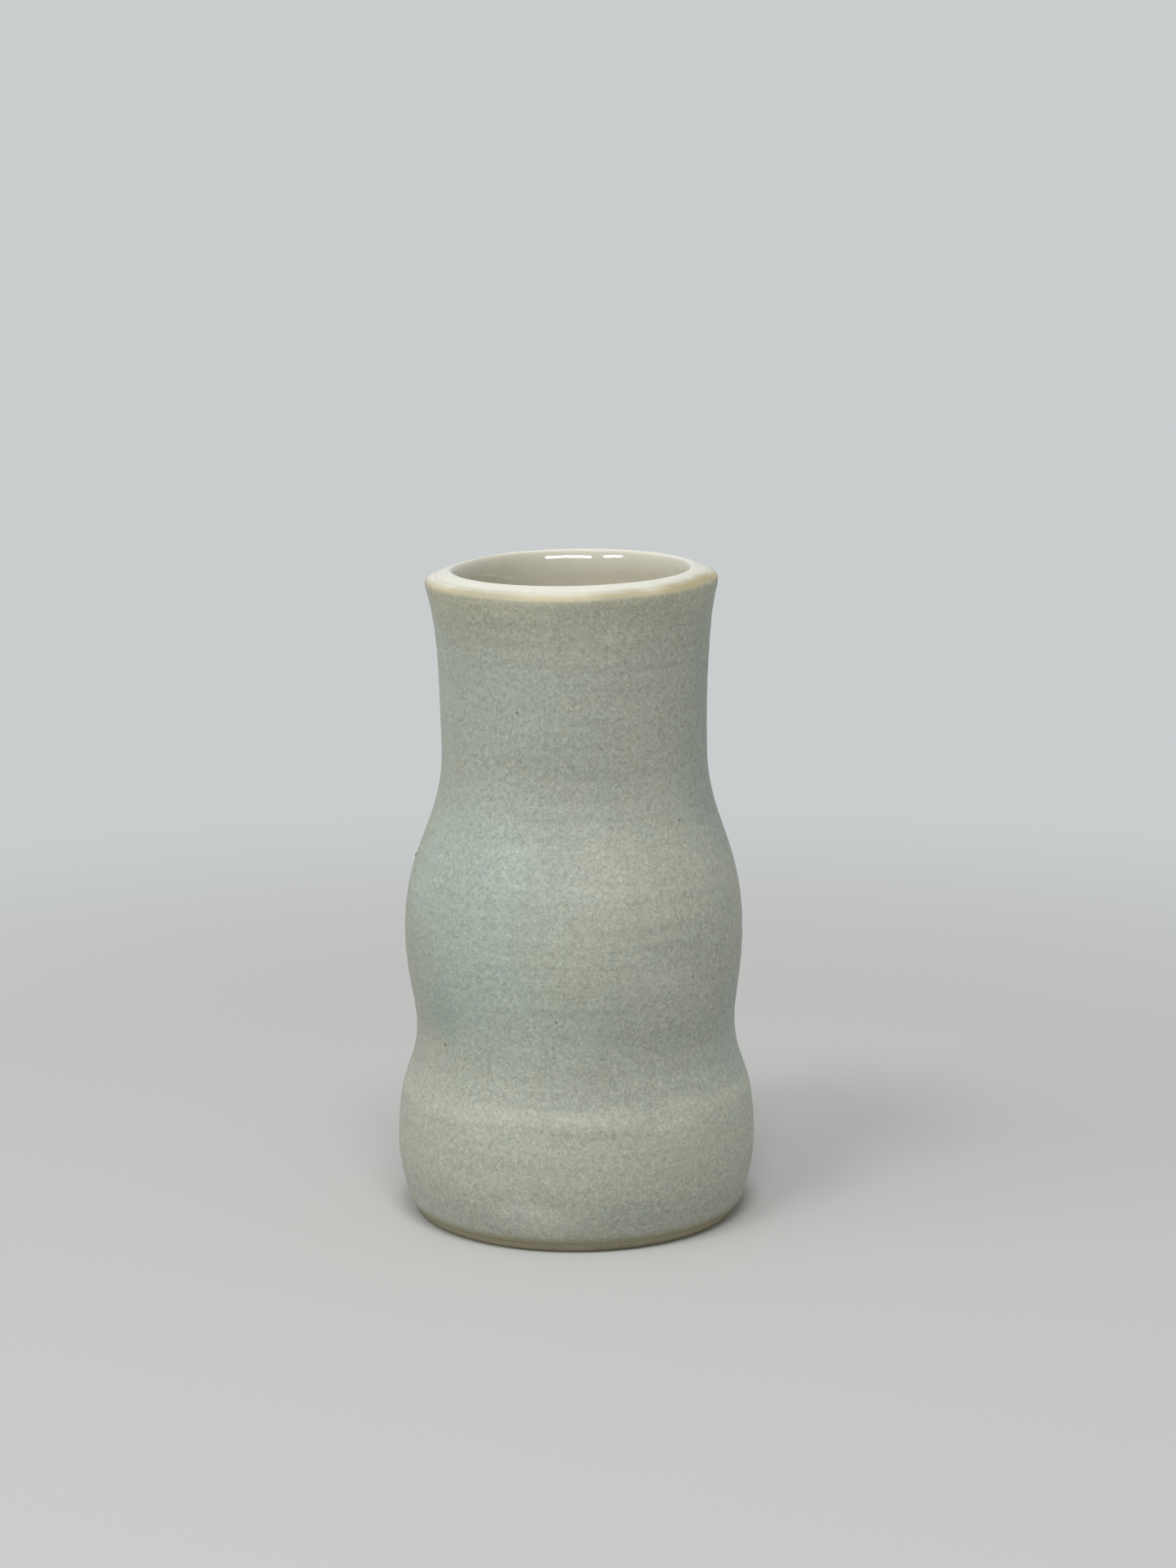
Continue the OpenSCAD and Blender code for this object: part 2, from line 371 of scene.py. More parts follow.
def wheel():
    """Turns a section about Z, and gives the faces that show their throwing rings and uneven surface."""
    tree, given = new_tree("thrown on the wheel", {
        "Section": "Geometry", "Rows": "Int", "Columns": "Int",
        "Ring Height": "Float", "Ring Spacing": "Float", "Swell Height": "Float", "Swell Size": "Float",
        "Line Wander": "Float", "Wander Size": "Float",
        "Rim Slope": "Vector", "Rim Dip": "Vector", "Dip Reach": "Float", "Dip Depth": "Float",
        "Seed": "Float", "Material": "Material"})

    # A flat grid whose columns go round the vase and whose rows follow the section
    around = add(tree, MATH, [given["Columns"], 1.0], operation="ADD")
    grid = add(tree, "GeometryNodeMeshGrid", {"Vertices X": around, "Vertices Y": given["Rows"]})
    index = add(tree, "GeometryNodeInputIndex")
    row = add(tree, MATH, [index, given["Rows"]], operation="MODULO")
    column = add(tree, MATH, [index, given["Rows"]], operation="DIVIDE")
    column = add(tree, MATH, [column], operation="FLOOR")
    part = add(tree, MATH, [column, given["Columns"]], operation="DIVIDE")
    turn = add(tree, MATH, [part, math.tau], operation="MULTIPLY")

    # What the section says at each row, with its place and its directions turned to the column
    read = {}
    vectors = ("position", "outward", "upward")
    for name in vectors + ("shows", "line", "rim", "lean", "way"):
        kind = "FLOAT_VECTOR" if name in vectors else "FLOAT"
        value = add(tree, "GeometryNodeInputNamedAttribute", {"Name": name}, data_type=kind)
        read[name] = add(tree, "GeometryNodeSampleIndex",
                         {"Geometry": given["Section"], "Value": value, "Index": row}, data_type=kind)
        if name in vectors:
            read[name] = add(tree, "ShaderNodeVectorRotate", {"Vector": read[name], "Angle": turn},
                             rotation_type="Z_AXIS")
    place = read["position"]

    def unevenness(vector, size, detail):
        """Soft noise from -1 to 1 whose swells are about a given size."""
        scale = add(tree, MATH, [1.0, size], operation="DIVIDE")
        noise = add(tree, NOISE, {"Vector": vector, "W": given["Seed"], "Scale": scale, "Detail": detail},
                    noise_dimensions="4D")
        return add(tree, SPREAD, [noise, *USUAL, -1.0, 1.0], clamp=False)

    # The rings are one long spiral that climbs its spacing at each turn, strong here and faint there
    climb = add(tree, MATH, [read["way"], given["Ring Spacing"]], operation="DIVIDE")
    spiral = add(tree, MATH, [climb, math.tau, turn], operation="MULTIPLY_ADD")
    spiral = add(tree, MATH, [spiral], operation="SINE")
    run = add(tree, MATH, [given["Ring Spacing"], RING_RUN], operation="MULTIPLY")
    strength = add(tree, MATH, [unevenness(place, run, 0.0), RING_SHARE], operation="ADD")
    rings = add(tree, MATH, [spiral, strength], operation="MULTIPLY")
    rings = add(tree, MATH, [rings, given["Ring Height"]], operation="MULTIPLY")
    swells = unevenness(place, given["Swell Size"], 1.0)
    relief = add(tree, MATH, [swells, given["Swell Height"], rings], operation="MULTIPLY_ADD")
    relief = add(tree, MATH, [relief, read["shows"]], operation="MULTIPLY")
    relief = add(tree, VECTOR, {"Vector": read["outward"], "Scale": relief}, operation="SCALE")

    # The line at which a glaze ends wanders up and down on its way round
    ring = add(tree, VECTOR, [place, (1.0, 1.0, 0.0)], operation="MULTIPLY")
    stray = unevenness(ring, given["Wander Size"], 2.0)
    stray = add(tree, MATH, [stray, given["Line Wander"]], operation="MULTIPLY")
    stray = add(tree, MATH, [stray, read["line"]], operation="MULTIPLY")
    stray = add(tree, VECTOR, {"Vector": read["upward"], "Scale": stray}, operation="SCALE")

    # The whole piece leans a little, and its rim isn't quite level and dips at one place
    rise = add(tree, VECTOR, [place, given["Rim Slope"]], operation="DOT_PRODUCT").outputs["Value"]
    apart = add(tree, VECTOR, [place, given["Rim Dip"]], operation="DISTANCE").outputs["Value"]
    dip = add(tree, SPREAD, [apart, 0.0, given["Dip Reach"], 1.0, 0.0], interpolation_type="SMOOTHSTEP")
    dip = add(tree, MATH, [dip, given["Dip Depth"]], operation="MULTIPLY")
    rise = add(tree, MATH, [rise, dip], operation="SUBTRACT")
    rise = add(tree, MATH, [rise, read["rim"]], operation="MULTIPLY")
    crooked = add(tree, "ShaderNodeCombineXYZ", {"X": read["lean"], "Z": rise})

    final = place
    for move in (relief, stray, crooked):
        final = add(tree, VECTOR, [final, move], operation="ADD")
    shaped = add(tree, "GeometryNodeSetPosition", {"Geometry": grid, "Position": final})
    closed = add(tree, "GeometryNodeMergeByDistance", {"Geometry": shaped, "Distance": WELD * MM})
    smooth = add(tree, "GeometryNodeSetShadeSmooth", {"Geometry": closed})
    solid = add(tree, "GeometryNodeRealizeInstances", {"Geometry": smooth})
    dressed = add(tree, "GeometryNodeSetMaterial", {"Geometry": solid, "Material": given["Material"]})
    add(tree, "NodeGroupOutput", {"Piece": dressed})
    return tree


def grit():
    """Puts a flattened grain at each point, turned to face outwards and as large as the point says."""
    tree, given = new_tree("grit in the glaze", {
        "Points": "Geometry", "Flatness": "Float", "Material": "Material"})
    # A ball one across, so that its scale is the grain's width
    grain = add(tree, "GeometryNodeMeshIcoSphere", {"Radius": 0.5, "Subdivisions": 2})
    facing = add(tree, "GeometryNodeInputNamedAttribute", {"Name": "facing"}, data_type="FLOAT_VECTOR")
    upright = add(tree, "FunctionNodeAlignRotationToVector", {"Vector": facing}, axis="Z")
    width = add(tree, "GeometryNodeInputNamedAttribute", {"Name": "width"}, data_type="FLOAT")
    depth = add(tree, MATH, [width, given["Flatness"]], operation="MULTIPLY")
    size = add(tree, "ShaderNodeCombineXYZ", [width, width, depth])
    laid = add(tree, "GeometryNodeInstanceOnPoints",
               {"Points": given["Points"], "Instance": grain, "Rotation": upright, "Scale": size})
    solid = add(tree, "GeometryNodeRealizeInstances", {"Geometry": laid})
    smooth = add(tree, "GeometryNodeSetShadeSmooth", {"Geometry": solid})
    dressed = add(tree, "GeometryNodeSetMaterial", {"Geometry": smooth, "Material": given["Material"]})
    add(tree, "NodeGroupOutput", {"Piece": dressed})
    return tree


def made_of_points(name, places, attributes, tree, values):
    """A piece whose tree runs on points with these attributes, left as a plain mesh that faces outwards."""
    mesh = bpy.data.meshes.new(name)
    mesh.from_pydata([place * MM for place in places], [], [])
    for label, numbers in attributes.items():
        vector = isinstance(numbers[0], Vector)
        data = mesh.attributes.new(label, "FLOAT_VECTOR" if vector else "FLOAT", "POINT").data
        data.foreach_set("vector" if vector else "value",
                         [part for number in numbers for part in number] if vector else numbers)
    piece = bpy.data.objects.new(name, mesh)
    bpy.context.scene.collection.objects.link(piece)
    modifier = piece.modifiers.new("shape", "NODES")
    modifier.node_group = tree
    for socket in tree.interface.items_tree:
        if socket.name in values:
            modifier[socket.identifier] = values[socket.name]
    shaped = piece.evaluated_get(bpy.context.evaluated_depsgraph_get())
    piece.data = bpy.data.meshes.new_from_object(shaped)
    piece.data.name = name
    piece.modifiers.clear()
    work = bmesh.new()
    work.from_mesh(piece.data)
    if work.calc_volume(signed=True) < 0:
        bmesh.ops.reverse_faces(work, faces=work.faces)
    work.to_mesh(piece.data)
    work.free()
    return piece


def thrown(name, section, closed, lines, values):
    """A piece made on the wheel from its section. Lines are the heights near which a glaze's edge wanders."""
    kept = [section[0]]
    for point in section[1:]:
        if (point[0] - kept[-1][0]).length > SAME:
            kept.append(point)
    if closed:
        kept.append(kept[0])
    ways = [0.0]
    for (before, _, _), (after, _, _) in zip(kept, kept[1:]):
        ways.append(ways[-1] + (after - before).length * MM)
    attributes = {
        "outward": [Vector((normal.x, 0, normal.y)) for _, normal, _ in kept],
        "upward": [Vector((-normal.y, 0, normal.x)) for _, normal, _ in kept],
        "shows": [shows for _, _, shows in kept],
        "line": [max([0.0] + [1 - abs(point.y - line) / reach for line, reach in lines if normal.x > 0])
                 for point, normal, _ in kept],
        "rim": [max(0.0, (point.y - RIM_FROM) / (HEIGHT - RIM_FROM)) ** 2 for point, _, _ in kept],
        "lean": [lean_at(point.y) * MM for point, _, _ in kept],
        "way": ways,
    }
    values = {"Rows": len(kept), "Columns": COLUMNS, "Seed": float(SEED),
              "Rim Slope": (*RIM_SLOPE, 0.0), "Rim Dip": Vector(RIM_DIP) * MM,
              "Dip Reach": DIP_REACH * MM, "Dip Depth": DIP_DEPTH * MM, **values}
    return made_of_points(name, [Vector((p.x, 0, p.y)) for p, _, _ in kept], attributes, WHEEL, values)


# Materials

def blank_material(name):
    """A material with an empty node tree, and the tree."""
    material = bpy.data.materials.new(name)
    material.use_nodes = True
    material.node_tree.nodes.clear()
    return material, material.node_tree


# Colours of the lip: the liner's white, and the tan line where the two glazes run into each other
LIP_WHITE = srgb("#D7D6CA")
PALE_TAN = srgb("#C4BEA3")
DARK_TAN = srgb("#B9B08D")
# Heights between which the tan and the white set in on the bevel, and how far both lines wander up and down
TAN_FADE = ((HEIGHT - 2.6) * MM, (HEIGHT - 1.35) * MM)
WHITE_FADE = ((HEIGHT - 1.5) * MM, (HEIGHT - 0.55) * MM)
LINE_WANDER = (-0.2 * MM, 0.2 * MM)
# Heights between which the matte glaze darkens at the foot, brown at its edge and painted shade above it, and
# how far that line wanders
BROWN_AND_SHADE_FADE = ((BARE_BAND + 2.0) * MM, BARE_BAND * MM)
BROWN_WANDER = (-0.12 * MM, 0.12 * MM)
# Distances from the ridge at which its cream ends and is full
RIDGE_FADE = (2.4 * MM, 0.2 * MM)
# On the liner: where across the vase its painted shade on the left sets in, and how far the white inside the
# lip reaches down, scaled by that painted shade.
# Heights between which the white of the bevel, its painted light down the inside and its crest set in
LEFT_SHADE_ACROSS = (-18 * MM, -2 * MM)
CREST_RISE = 1.3 * MM
BEVEL_FADE = ((HEIGHT - 3.5) * MM, (HEIGHT - 2.5) * MM)
INSIDE_LIGHT_FADE = ((HEIGHT - 3.6) * MM, (HEIGHT - 0.5) * MM)
CREST_FADE = ((HEIGHT + 0.65) * MM, (HEIGHT + 1.2) * MM)
# Radii between which the bevel begins, at its inner edge
BEVEL_INNER = ((TOP.x - 0.3) * MM, (TOP.x + 0.2) * MM)
# Where the lines climb or fall and the tan turns olive: angle from the front, half width, climb, colour
CLIMBS = [
    (-38, 10, 0.22, "#B0AA8E"),
    (-92, 11, -0.35, "#ABA68C"),
    (20, 7, 0.3, "#AFA688"),
    (60, 15, 0.42, "#A59A75"),
]

# Tones of the matte glaze: colour, angle from the front towards +X in degrees, height, half width,
# half height, share. A tone with no angle goes all the way round.
TONES = [
    ("#A5A694", None, 99, 60, 8, 0.7),
    ("#B2B09A", None, 102.6, 60, 3.5, 0.6),
    ("#BAB9A6", -8, 102, 11, 4, 0.7),
    ("#ABAB9A", 6, 98, 18, 9, 0.6),
    ("#B1B09D", 24, 98.5, 8, 8, 0.75),
    ("#A2A99C", -32, 84, 15, 13, 0.8),
    ("#A6A79A", 36, 85, 14, 20, 0.9),
    # These two tones make the right side darker: partly the glaze's own bluer grey there, partly painted
    # shade where less light falls
    ("#949B90", 98, 84, 24, 32, 0.9),
    ("#8F9A91", 86, 67, 15, 11, 0.7),
    ("#A9AFA3", -74, 88, 9, 17, 0.7),
    ("#9A9E92", -3, 75, 14, 13, 0.7),
    # Painted shade: this tone darkens where the wide pane's gleam falls
    ("#989D91", -15, 65, 11, 9, 0.8),
    ("#9FAA9E", -42, 60, 20, 17, 1.0),
    ("#A3AEA3", -34, 42.5, 19, 15.5, 0.9),
    ("#98A59A", -54, 37, 6, 7, 0.7),
    ("#A5B1A7", -65, 58, 8, 14, 0.55),
    ("#ABAE9E", 30, 58, 17, 13, 1.0),
    ("#ACB0A0", 5, 47, 14, 9, 0.8),
    ("#AEB1A5", 33, 41.5, 14, 9, 0.75),
    ("#ABB3A7", -14, 36.3, 18, 8.3, 0.8),
    ("#ADB0A0", None, 14, 60, 12, 0.85),
    # Painted shade: this tone darkens the front of the hip's top, which faces the light
    ("#979B8E", 0, 24.3, 14, 7.6, 0.95),
    ("#ABAB9B", -62, 27, 9, 7, 0.6),
    ("#9CA8A2", 82, 30, 16, 16, 0.5),
    ("#B0B3A3", 34, 20.5, 10, 4.5, 0.75),
    ("#A7AA9C", None, 2, 60, 5, 0.7),
    ("#B7BAAC", -12, 6.2, 14, 4, 0.8),
    ("#A1ABA0", 165, 58, 18, 15, 0.9),
    ("#ABAE9D", -148, 62, 14, 11, 0.9),
    ("#9DA89E", -118, 40, 10, 10, 0.8),
    ("#A2A396", 122, 88, 14, 15, 0.8),
    ("#AAAD9E", 142, 36, 12, 7, 0.8),
    ("#A2A99C", -150, 85, 15, 12, 0.8),
    ("#A1AAA0", -165, 15, 12, 7, 0.6),
]


def on_vase(angle, height):
    """Point on the outside of the vase, and its normal, at an angle from the front and a height."""
    # Below the hip's widest place the hip's radius serves, since only soft tones are placed there
    point, normal = on_outside(height) if height > HIP_Z else (Vector((HIP_R, height)), Vector((1, 0)))
    x, y = math.sin(math.radians(angle)), -math.cos(math.radians(angle))
    place = Vector((point.x * x + lean_at(height), point.x * y, point.y))
    return place, Vector((normal.x * x, normal.x * y, normal.y))


def lip_line(tree, place):
    """Height that the lines on the lip follow, height with the rim's slope taken out, and the lines' tan.

    The lines keep to the rim's slope, wander a little, and climb or fall at the places named above.
    """
    square_to_rim = (-RIM_SLOPE[0], -RIM_SLOPE[1], 1.0)
    rim = add(tree, VECTOR, [place, square_to_rim], operation="DOT_PRODUCT").outputs["Value"]
    wander = add(tree, NOISE, {"Vector": place, "Scale": per_metre(5), "Detail": 3.0, "Roughness": 0.6})
    wander = add(tree, SPREAD, [wander, *MIDDLE, *LINE_WANDER])
    line = add(tree, MATH, [rim, wander], operation="ADD")
    patchy = add(tree, NOISE, {"Vector": place, "Scale": per_metre(14), "Detail": 2.0})
    pale = add(tree, SPREAD, [patchy, 0.35, 0.65])
    tan = add(tree, MIX, {BY: pale, FROM: DARK_TAN, TO: PALE_TAN}, data_type="RGBA").outputs[MIXED]
    for angle, wide, climb, code in CLIMBS:
        centre = on_vase(angle, LIP_Z)[0] * MM
        size = (wide * MM, wide * MM, wide * MM)
        local = add(tree, "ShaderNodeMapping", {"Vector": place, "Location": centre, "Scale": size},
                    vector_type="TEXTURE")
        near = add(tree, "ShaderNodeTexGradient", [local], gradient_type="SPHERICAL")
        near = add(tree, SPREAD, [near, *PATCH], interpolation_type="SMOOTHSTEP")
        line = add(tree, MATH, [near, -climb * MM, line], operation="MULTIPLY_ADD")
        tan = add(tree, MIX, {BY: near, FROM: tan, TO: srgb(code)}, data_type="RGBA").outputs[MIXED]
    return line, rim, tan


def matte_glaze():
    """Matte ash glaze fired on stoneware: a soft satin grey-green with a mottled crystal grain.

    It is celadon where it lies thick, cream where it ran thin over swells and the ridge, tan at the lip.
    """
    material, tree = blank_material("matte ash glaze")
    place = add(tree, "ShaderNodeTexCoord").outputs["Object"]

    # The tones meet in ragged edges: each is looked up at a place that strays by a few millimetres, both ways
    drift = add(tree, NOISE, {"Vector": place, "Scale": per_metre(9), "Detail": 4.0, "Roughness": 0.6})
    drift = add(tree, VECTOR, [drift.outputs["Color"], (0.5, 0.5, 0.5)], operation="SUBTRACT")
    strayed = add(tree, VECTOR, [drift, (14 * MM, 14 * MM, 9 * MM), place], operation="MULTIPLY_ADD")
    colour = srgb("#A2A699")
    for code, angle, height, wide, high, share in TONES:
        centre = (0.0, 0.0, height * MM) if angle is None else on_vase(angle, height)[0] * MM
        size = (wide * MM, wide * MM, high * MM)
        local = add(tree, "ShaderNodeMapping", {"Vector": strayed, "Location": centre, "Scale": size},
                    vector_type="TEXTURE")
        if angle is None:
            local = add(tree, VECTOR, [local, (0.0, 0.0, 1.0)], operation="MULTIPLY")
        near = add(tree, "ShaderNodeTexGradient", [local], gradient_type="SPHERICAL")
        weight = add(tree, SPREAD, [near, *PATCH, 0.0, share], interpolation_type="SMOOTHSTEP")
        colour = add(tree, MIX, {BY: weight, FROM: colour, TO: srgb(code)}, data_type="RGBA").outputs[MIXED]

    # Over the ridge the glaze breaks to cream, in patches
    height = add(tree, "ShaderNodeSeparateXYZ", [place]).outputs["Z"]
    patchy = add(tree, NOISE, {"Vector": place, "Scale": per_metre(14), "Detail": 2.0})
    off_ridge = add(tree, MATH, [height, RIDGE_Z * MM], operation="SUBTRACT")
    off_ridge = add(tree, MATH, [off_ridge], operation="ABSOLUTE")
    on_ridge = add(tree, SPREAD, [off_ridge, *RIDGE_FADE], interpolation_type="SMOOTHSTEP")
    patchy = add(tree, SPREAD, [patchy, 0.3, 0.65, 0.15, 0.7])
    on_ridge = add(tree, MATH, [on_ridge, patchy], operation="MULTIPLY")
    cream = srgb("#B3B6A5")
    colour = add(tree, MIX, {BY: on_ridge, FROM: colour, TO: cream}, data_type="RGBA").outputs[MIXED]

    # Faint level streaks left by the brush and the wheel, about 1.2 mm high and 20 mm long
    long = add(tree, VECTOR, [place, (1 / 20, 1 / 20, 1 / 1.2)], operation="MULTIPLY")
    streaks = add(tree, NOISE, {"Vector": long, "Scale": per_metre(1), "Detail": 3.0, "Roughness": 0.6})
    # Worm-like mottle of crystals about 0.6 mm long, and a finer grain under it
    upright = add(tree, VECTOR, [place, (1.0, 1.0, 0.92)], operation="MULTIPLY")
    mottle = add(tree, NOISE, {"Vector": upright, "Scale": per_metre(0.6), "Detail": 2.0, "Distortion": 1.0})
    grain = add(tree, NOISE, {"Vector": place, "Scale": per_metre(0.3), "Detail": 1.0})
    light = 1.0
    for pattern, dark, pale in ((mottle, 0.715, 1.285), (grain, 0.88, 1.12), (streaks, 0.935, 1.065)):
        shade = add(tree, SPREAD, [pattern, *USUAL, dark, pale], clamp=False)
        light = add(tree, MATH, [shade, light], operation="MULTIPLY")

    # Pinholes and iron dust: dark points about 0.3 mm across
    dust = add(tree, "ShaderNodeTexVoronoi", {"Vector": place, "Scale": per_metre(3.2)}).outputs["Distance"]
    dust = add(tree, SPREAD, [dust, 0.03, 0.075, 0.75, 1.0], interpolation_type="SMOOTHSTEP")
    light = add(tree, MATH, [light, dust], operation="MULTIPLY")
    colour = add(tree, VECTOR, {"Vector": colour, "Scale": light}, operation="SCALE")

    # Cloudy shift between bluish and warm, in patches of about 2.5 mm
    clouds = add(tree, NOISE, {"Vector": place, "Scale": per_metre(2.5), "Detail": 2.0})
    bluish = (0.96, 1.0, 1.05, 1.0)
    warm = (1.04, 1.0, 0.95, 1.0)
    tint = add(tree, MIX, {BY: clouds, FROM: bluish, TO: warm}, data_type="RGBA").outputs[MIXED]
    colour = add(tree, VECTOR, [colour, tint], operation="MULTIPLY")

    # On the lip's bevel the glaze thins to a tan line and then to the white of the liner
    line, _, tan = lip_line(tree, place)
    thin = add(tree, SPREAD, [line, *TAN_FADE], interpolation_type="SMOOTHSTEP")
    colour = add(tree, MIX, {BY: thin, FROM: colour, TO: tan}, data_type="RGBA").outputs[MIXED]
    white = add(tree, SPREAD, [line, *WHITE_FADE], interpolation_type="SMOOTHSTEP")
    colour = add(tree, MIX, {BY: white, FROM: colour, TO: LIP_WHITE}, data_type="RGBA").outputs[MIXED]
    # Towards its lower edge at the foot it darkens to brown: the brown of its thin edge, and above that
    # painted shade near the floor
    wander = add(tree, NOISE, {"Vector": place, "Scale": per_metre(5), "Detail": 3.0, "Roughness": 0.6})
    wander = add(tree, SPREAD, [wander, *MIDDLE, *BROWN_WANDER])
    wandering = add(tree, MATH, [height, wander], operation="ADD")
    low = add(tree, SPREAD, [wandering, *BROWN_AND_SHADE_FADE], interpolation_type="SMOOTHSTEP")
    brown = srgb("#948E74")
    colour = add(tree, MIX, {BY: low, FROM: colour, TO: brown}, data_type="RGBA").outputs[MIXED]

    rough = add(tree, SPREAD, [mottle, *USUAL, 0.56, 0.46])
    bump = add(tree, "ShaderNodeBump", {"Height": mottle, "Strength": 0.4, "Distance": 0.02 * MM})
    shader = add(tree, "ShaderNodeBsdfPrincipled", {"Base Color": colour, "Roughness": rough, "Normal": bump,
                                                    "Specular IOR Level": 0.3})
    add(tree, "ShaderNodeOutputMaterial", {"Surface": shader})
    return material


def gloss_liner():
    """Clear gloss glaze over pale slip: wet-looking and warm grey inside, white and satin on the lip."""
    material, tree = blank_material("gloss liner glaze")
    place = add(tree, "ShaderNodeTexCoord").outputs["Object"]
    flat = add(tree, VECTOR, [place, (1.0, 1.0, 0.0)], operation="MULTIPLY")
    radius = add(tree, VECTOR, [flat], operation="LENGTH").outputs["Value"]
    clouds = add(tree, NOISE, {"Vector": place, "Scale": per_metre(7), "Detail": 4.0, "Roughness": 0.6})
    dull = srgb("#BCB7A3")
    pale = srgb("#C8C4B1")
    colour = add(tree, MIX, {BY: clouds, FROM: dull, TO: pale}, data_type="RGBA").outputs[MIXED]
    # Painted shade: the inside is darker towards the left, where less light falls
    across = add(tree, "ShaderNodeSeparateXYZ", [place]).outputs["X"]
    thin = add(tree, SPREAD, [across, *LEFT_SHADE_ACROSS, 0.82, 1.0], interpolation_type="SMOOTHSTEP")
    colour = add(tree, VECTOR, {"Vector": colour, "Scale": thin}, operation="SCALE")

    # White over the bevel and the top of the lip, with painted light down the inside: lighter just under the
    # lip, darker deeper in
    line, rim, tan = lip_line(tree, place)
    near_top = add(tree, SPREAD, [rim, *BEVEL_FADE])
    on_bevel = add(tree, SPREAD, [radius, *BEVEL_INNER])
    on_bevel = add(tree, MATH, [on_bevel, near_top], operation="MULTIPLY")
    # Painted light: the top of the inside is lighter, fading out deeper in
    inside_light = add(tree, SPREAD, [rim, *INSIDE_LIGHT_FADE, 0.0, 0.34])
    # Painted shade too: on the left the white crest reaches a little less far down the inside
    crest = add(tree, MATH, [thin, CREST_RISE, rim], operation="MULTIPLY_ADD")
    crest = add(tree, SPREAD, [crest, *CREST_FADE], interpolation_type="SMOOTHSTEP")
    on_lip = add(tree, MATH, [on_bevel, crest], operation="MAXIMUM")
    on_lip = add(tree, MATH, [on_lip, inside_light], operation="MAXIMUM")
    colour = add(tree, MIX, {BY: on_lip, FROM: colour, TO: LIP_WHITE}, data_type="RGBA").outputs[MIXED]

    # Tan where the matte glaze runs into its edge, as on the other side of the line
    low = add(tree, SPREAD, [line, *reversed(WHITE_FADE)], interpolation_type="SMOOTHSTEP")
    low = add(tree, MATH, [low, on_bevel], operation="MULTIPLY")
    colour = add(tree, MIX, {BY: low, FROM: colour, TO: tan}, data_type="RGBA").outputs[MIXED]

    # Fine grain of the slip, about 0.5 mm
    grain = add(tree, NOISE, {"Vector": place, "Scale": per_metre(0.5), "Detail": 2.0})
    light = add(tree, SPREAD, [grain, *USUAL, 0.95, 1.05], clamp=False)
    colour = add(tree, VECTOR, {"Vector": colour, "Scale": light}, operation="SCALE")
    # The liner is wet-looking inside and satin on the lip
    rough = add(tree, SPREAD, [on_lip, 0.35, 1.0, 0.08, 0.38])
    ripple = add(tree, NOISE, {"Vector": place, "Scale": per_metre(3), "Detail": 1.0})
    bump = add(tree, "ShaderNodeBump", {"Height": ripple, "Strength": 0.3, "Distance": 0.04 * MM})
    shader = add(tree, "ShaderNodeBsdfPrincipled", {"Base Color": colour, "Roughness": rough, "Normal": bump,
                                                    "IOR": 1.6})
    add(tree, "ShaderNodeOutputMaterial", {"Surface": shader})
    return material


def bare_stoneware():
    """Bare fired stoneware: dry and tan, with sand in the clay and fine level lines from the turning tool."""
    material, tree = blank_material("bare stoneware")
    place = add(tree, "ShaderNodeTexCoord").outputs["Object"]
    clouds = add(tree, NOISE, {"Vector": place, "Scale": per_metre(8), "Detail": 4.0, "Roughness": 0.6})
    brown = srgb("#8B846B")
    tan = srgb("#A9A288")
    colour = add(tree, MIX, {BY: clouds, FROM: brown, TO: tan}, data_type="RGBA").outputs[MIXED]

    # Turning lines run round the foot, so they depend on the radius and the height alone
    flat = add(tree, VECTOR, [place, (1.0, 1.0, 0.0)], operation="MULTIPLY")
    radius = add(tree, VECTOR, [flat], operation="LENGTH").outputs["Value"]
    height = add(tree, "ShaderNodeSeparateXYZ", [place]).outputs["Z"]
    turning = add(tree, "ShaderNodeCombineXYZ", {"X": radius, "Z": height})
    lines = add(tree, NOISE, {"Vector": turning, "Scale": per_metre(0.6), "Detail": 2.0})
    sand = add(tree, "ShaderNodeTexVoronoi", {"Vector": place, "Scale": per_metre(0.9)}).outputs["Distance"]
    grain = add(tree, NOISE, {"Vector": place, "Scale": per_metre(0.35), "Detail": 2.0})
    light = add(tree, SPREAD, [lines, *USUAL, 0.86, 1.1], clamp=False)
    pale_sand = add(tree, SPREAD, [sand, 0.1, 0.35, 1.18, 1.0])
    light = add(tree, MATH, [light, pale_sand], operation="MULTIPLY")
    fine = add(tree, SPREAD, [grain, *USUAL, 0.9, 1.1], clamp=False)
    light = add(tree, MATH, [light, fine], operation="MULTIPLY")
    colour = add(tree, VECTOR, {"Vector": colour, "Scale": light}, operation="SCALE")
    rough = add(tree, SPREAD, [grain, *USUAL, 0.78, 0.92])
    scored = add(tree, "ShaderNodeBump", {"Height": lines, "Strength": 0.6, "Distance": 0.08 * MM})
    sandy = add(tree, "ShaderNodeBump", {"Height": grain, "Strength": 0.6, "Distance": 0.06 * MM,
                                         "Normal": scored})
    shader = add(tree, "ShaderNodeBsdfPrincipled", {"Base Color": colour, "Roughness": rough, "Normal": sandy,
                                                    "Specular IOR Level": 0.3})
    add(tree, "ShaderNodeOutputMaterial", {"Surface": shader})
    return material


